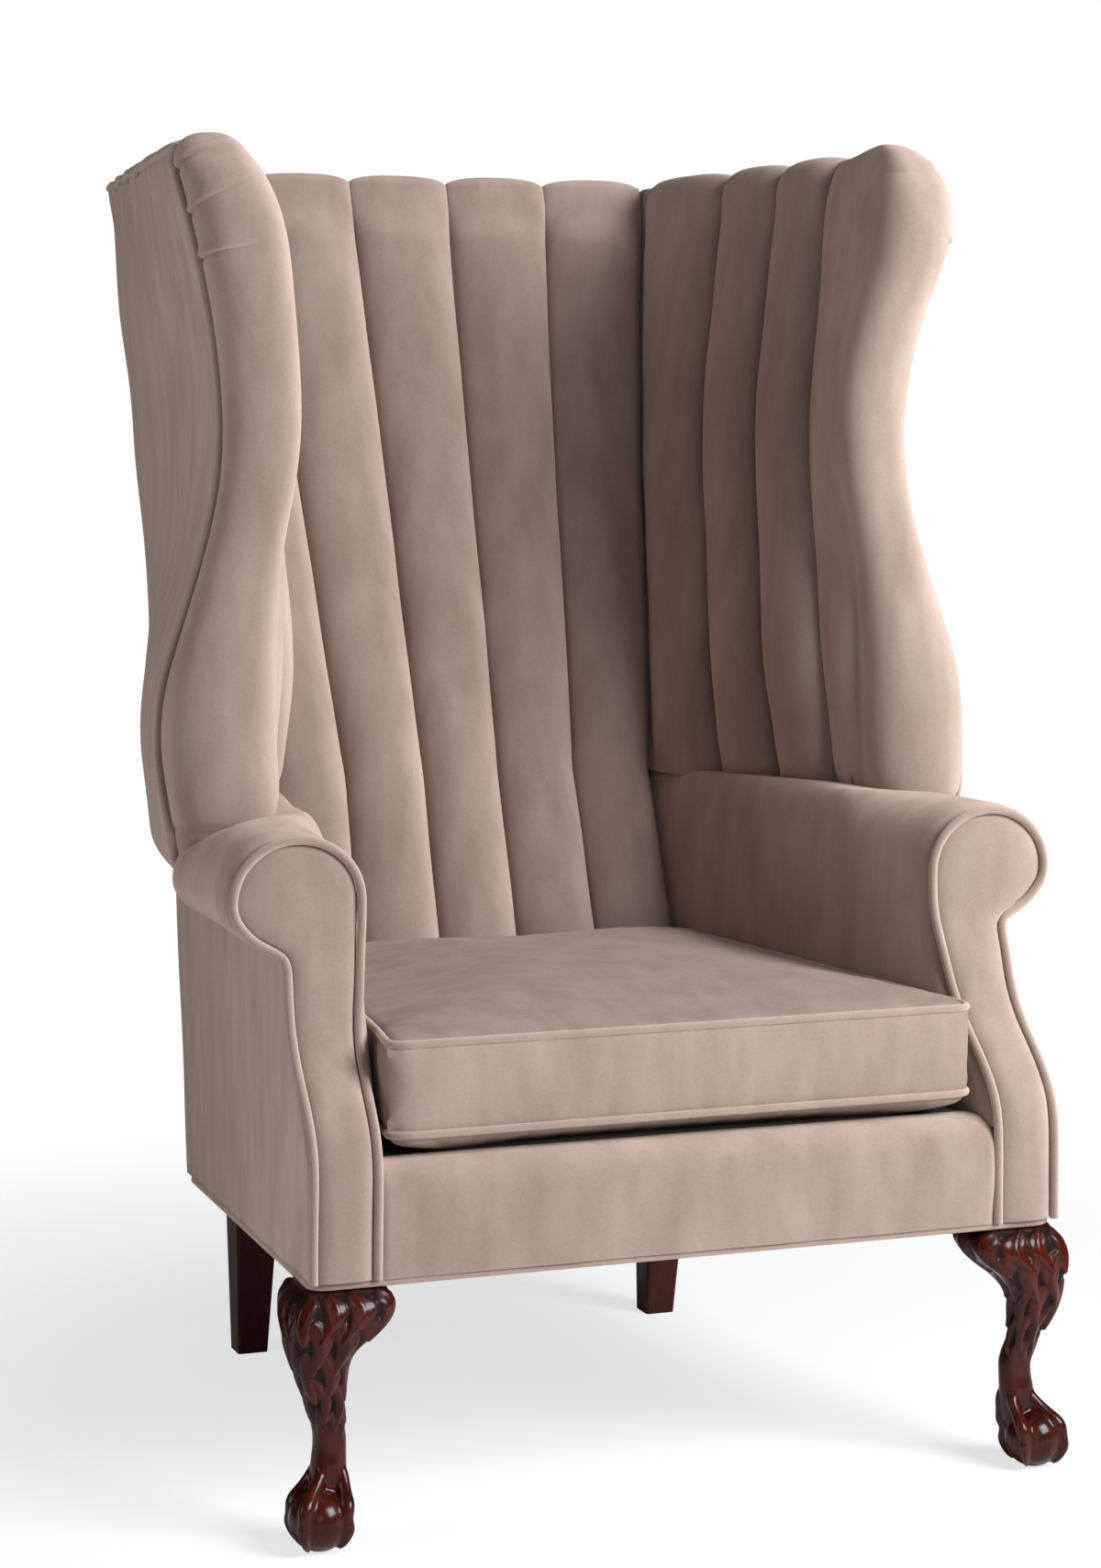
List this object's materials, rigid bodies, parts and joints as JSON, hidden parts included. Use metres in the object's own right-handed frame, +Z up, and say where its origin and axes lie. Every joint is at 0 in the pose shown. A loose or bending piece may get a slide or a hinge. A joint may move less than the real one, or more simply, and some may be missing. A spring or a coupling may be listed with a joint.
{
  "type": "high back armchair",
  "caption": "Wing armchair with a tall channelled back, serpentine padded wings, rolled arms, loose corded seat cushion, carved cabriole front legs and raked rear legs.",
  "frame": {"origin": "on the floor under the middle of the chair's overall box", "axes": "+Z up, -Y out of the front of the seat, +X to the right as seen from the front"},
  "size_m": [0.7976, 0.8798, 1.2067],
  "materials": {
    "velvet": "cut pile, soft sheen",
    "velvet_cord": "self-covered cord",
    "mahogany": "dark polished",
    "beech": "planed, unfinished",
    "steel": "drawn wire and plated fixings",
    "webbing": "woven jute",
    "deck_cloth": "felt under deck cloth",
    "dust_cloth": "black non-woven",
    "foam": "open cell foam",
    "zip_tape": "woven tape with coil",
    "zip_metal": "antique plated"
  },
  "bodies": {
    "chair": {"arm_board_left": "beech", "arm_board_right": "beech", "arm_facing_left": "velvet", "arm_facing_right": "velvet", "arm_post_left": "beech", "arm_post_right": "beech", "back_post_left": "beech", "back_post_right": "beech", "back_webbing": "webbing", "base_cord": "velvet_cord", "corner_blocks": "beech", "dust_cover": "dust_cloth", "facing_cord_left": "velvet_cord", "facing_cord_right": "velvet_cord", "front_border": "velvet", "front_leg_left": "mahogany", "front_leg_right": "mahogany", "front_rail": "beech", "inside_arm_left": "velvet", "inside_arm_right": "velvet", "inside_back": "velvet", "inside_wing_left": "velvet", "inside_wing_right": "velvet", "knee_blocks_left": "mahogany", "knee_blocks_right": "mahogany", "leg_bolts": "steel", "lower_back_rail": "beech", "outside_arm_left": "velvet", "outside_arm_right": "velvet", "outside_back": "velvet", "outside_wing_left": "velvet", "outside_wing_right": "velvet", "rear_leg_left": "mahogany", "rear_leg_right": "mahogany", "rear_seat_rail": "beech", "seat_deck": "deck_cloth", "seat_springs": "steel", "side_rail_left": "beech", "side_rail_right": "beech", "spring_clips": "steel", "top_rail": "beech", "wing_board_left": "beech", "wing_board_right": "beech", "wing_cord_left": "velvet_cord", "wing_cord_right": "velvet_cord", "wing_post_left": "beech", "wing_post_right": "beech", "wing_roll_left": "velvet", "wing_roll_right": "velvet"},
    "cushion": {"cushion_cover": "velvet", "cushion_foam": "foam", "cushion_cord_top": "velvet_cord", "cushion_cord_low": "velvet_cord", "zip_tape": "zip_tape"},
    "zip_slider": {"zip_slider": "zip_metal"}
  },
  "joints": [
    {"name": "cushion_draw", "type": "slide", "parent": "chair", "child": "cushion", "axis": [0, -1, 0], "range_m": [0, 0.58]},
    {"name": "zip_run", "type": "slide", "parent": "cushion", "child": "zip_slider", "axis": [-1, 0, 0], "range_m": [0, 0.316]}
  ]
}
